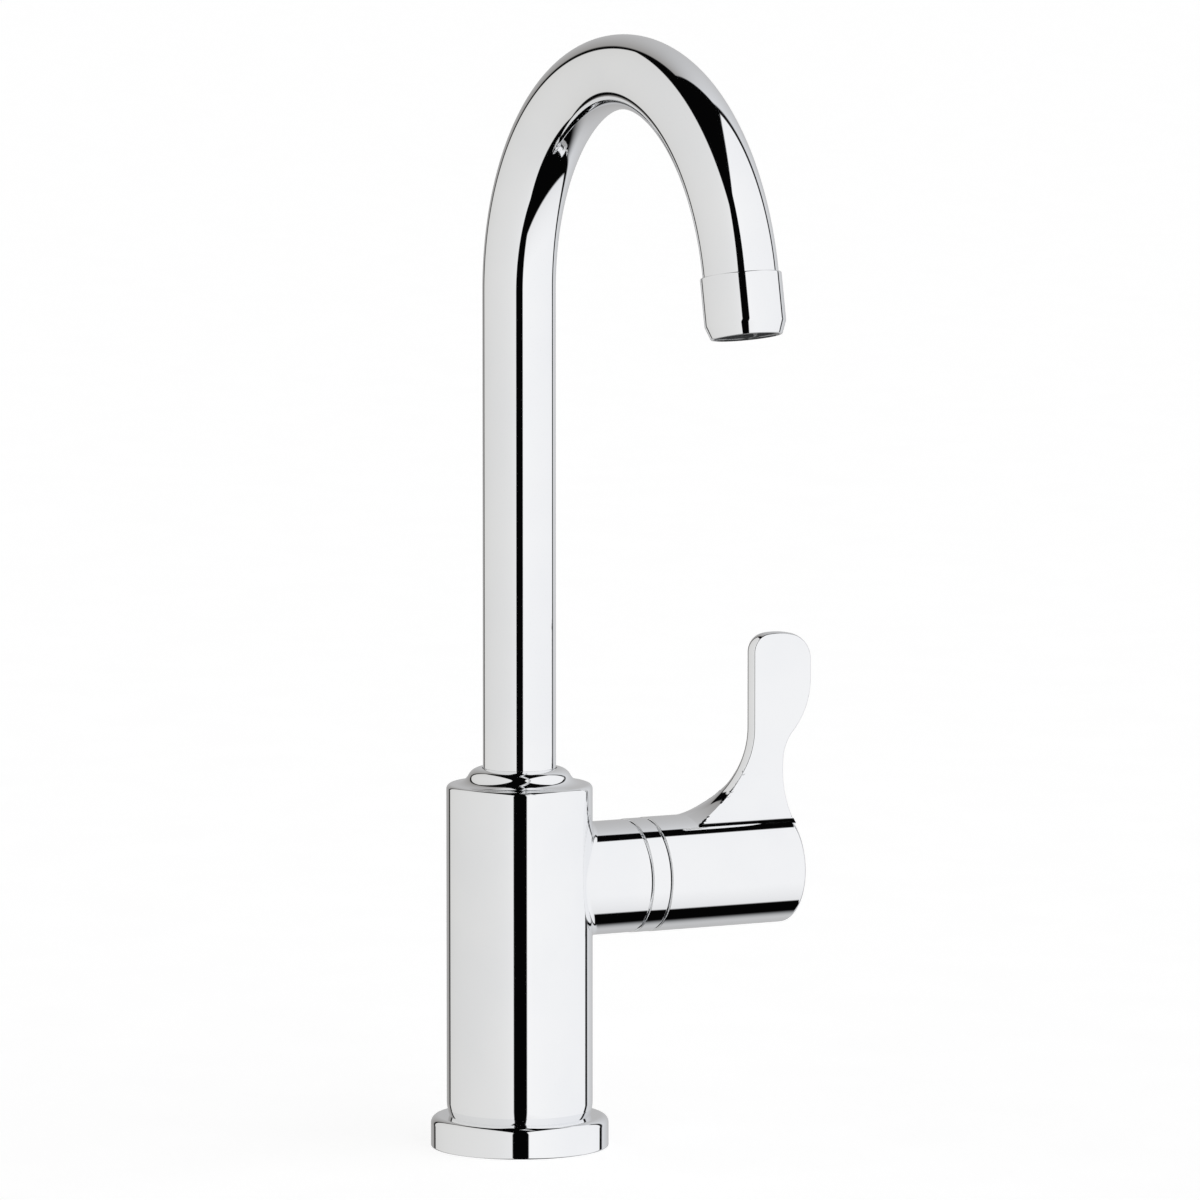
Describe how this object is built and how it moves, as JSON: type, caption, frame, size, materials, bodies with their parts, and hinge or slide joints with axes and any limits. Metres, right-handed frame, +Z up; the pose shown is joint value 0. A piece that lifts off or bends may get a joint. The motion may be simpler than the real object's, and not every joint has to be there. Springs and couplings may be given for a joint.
{
  "type": "gooseneck bar faucet",
  "caption": "Polished single-hole bar faucet: cylindrical body on a round deck flange, tall swivelling gooseneck spout with an aerator, and a side valve with an upright wrist-blade lever.",
  "frame": {"origin": "on the column's axis at the deck, under the flange", "axes": "+Z up along the column, -Y the way the spout hangs at rest, +X along the side valve and its lever"},
  "size_m": [0.1188, 0.1663, 0.3175],
  "materials": {
    "chrome": "polished",
    "brass": "machined",
    "rubber": "matte",
    "white_plastic": "satin",
    "grey_plastic": "satin",
    "ceramic": "lapped",
    "steel": "machined"
  },
  "bodies": {
    "base": {"deck_flange": "chrome", "deck_gasket": "rubber", "valve_body": "chrome", "base_insert": "brass", "spout_thrust_washer": "white_plastic", "upper_spout_bush": "white_plastic", "spout_retaining_screw": "steel", "cartridge_shell": "brass", "seat_seal": "rubber", "fixed_disc": "ceramic", "glide_ring": "white_plastic", "cartridge_o_ring": "rubber", "trim_ring": "chrome"},
    "spout": {"spout_tube": "chrome", "spout_ferrule": "brass", "spout_o_rings": "rubber", "outlet_collar": "chrome", "aerator_washer": "rubber", "aerator_shell": "grey_plastic", "aerator_jet_plate": "grey_plastic", "aerator_honeycomb": "grey_plastic"},
    "lever": {"handle": "chrome", "spline_adapter": "brass", "handle_set_screw": "steel", "valve_stem": "brass", "moving_disc": "ceramic", "stem_o_rings": "rubber"}
  },
  "joints": [
    {"name": "spout_swivel", "type": "hinge", "parent": "base", "child": "spout", "pos_m": [0, 0, 0.1], "axis": [0, 0, 1], "continuous": true},
    {"name": "lever_turn", "type": "hinge", "parent": "base", "child": "lever", "pos_m": [0.0405, 0, 0.0749], "axis": [1, 0, 0], "range_deg": [0, 90]}
  ]
}
